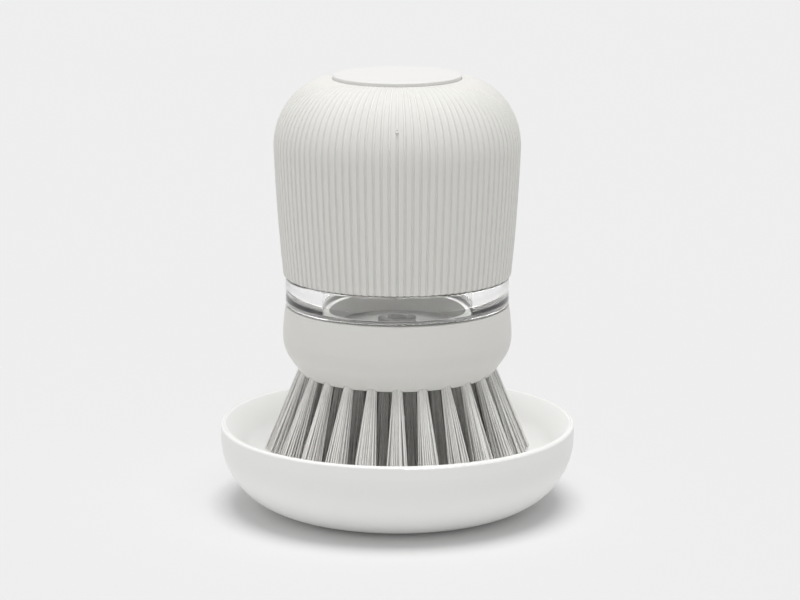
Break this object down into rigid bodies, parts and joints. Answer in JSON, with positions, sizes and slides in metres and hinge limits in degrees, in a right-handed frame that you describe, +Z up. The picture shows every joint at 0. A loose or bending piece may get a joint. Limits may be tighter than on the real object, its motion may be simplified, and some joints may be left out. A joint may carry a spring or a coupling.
{
  "type": "soap dispensing palm dish brush",
  "caption": "Palm dish brush with a ribbed dome grip, press button, clear soap reservoir and flared bristle tufts, standing in a round drip tray",
  "frame": {"origin": "centre of the tray's foot ring, on the table", "axes": "+Z up along the brush's axis; the brush is round, so X and Y only fix the first tuft and groove, which lie on +X"},
  "size_m": [0.0992, 0.0992, 0.1216],
  "materials": {
    "grip_rubber": "soft matte moulded skin, light warm grey",
    "body_plastic": "fine satin moulding, light warm grey",
    "button_plastic": "satin moulding, light warm grey",
    "clear_plastic": "polished clear moulding",
    "bristle_nylon": "drawn filament, pale grey",
    "tray_plastic": "smooth white moulding, half gloss",
    "valve_silicone": "matte grey silicone",
    "seal_rubber": "dark grey silicone",
    "pale_silicone": "matte pale silicone",
    "pump_plastic": "plain white moulding",
    "spring_steel": "drawn stainless wire",
    "anchor_brass": "flat drawn wire"
  },
  "bodies": {
    "tray": {"tray_bowl": "tray_plastic", "tray_insert": "tray_plastic", "foot_ring": "pale_silicone"},
    "head": {"brush_head": "body_plastic", "outer_tufts": "bristle_nylon", "second_tufts": "bristle_nylon", "third_tufts": "bristle_nylon", "inner_tufts": "bristle_nylon", "tuft_anchors": "anchor_brass", "slit_valve": "valve_silicone", "valve_retainer": "valve_silicone"},
    "neck_seal": {"neck_seal": "pale_silicone"},
    "handle": {"reservoir": "clear_plastic", "dome_shell": "body_plastic", "grip_sleeve": "grip_rubber", "pump_cylinder": "pump_plastic", "cap_gasket": "seal_rubber", "outlet_valve": "valve_silicone", "return_spring": "spring_steel"},
    "button": {"push_button": "button_plastic", "piston": "pump_plastic", "piston_seal": "seal_rubber", "inlet_valve": "valve_silicone"}
  },
  "joints": [
    {"name": "brush_lift", "type": "slide", "parent": "tray", "child": "head", "axis": [0, 0, 1], "range_m": [0, 0.06]},
    {"name": "handle_rise", "type": "slide", "parent": "head", "child": "neck_seal", "axis": [0, 0, 1], "range_m": [0, 0.01]},
    {"name": "handle_unscrew", "type": "hinge", "parent": "neck_seal", "child": "handle", "pos_m": [0, 0, 0.0567], "axis": [0, 0, 1], "range_deg": [0, 300]},
    {"name": "button_press", "type": "slide", "parent": "handle", "child": "button", "axis": [0, 0, -1], "range_m": [0, 0.004], "stiffness_N_per_m": 900, "springref_m": -0.004, "deforming": ["return_spring"]}
  ],
  "couplings": [
    {"joint": "handle_rise", "follows": "handle_unscrew", "m_per_rad": 0.0019098}
  ]
}
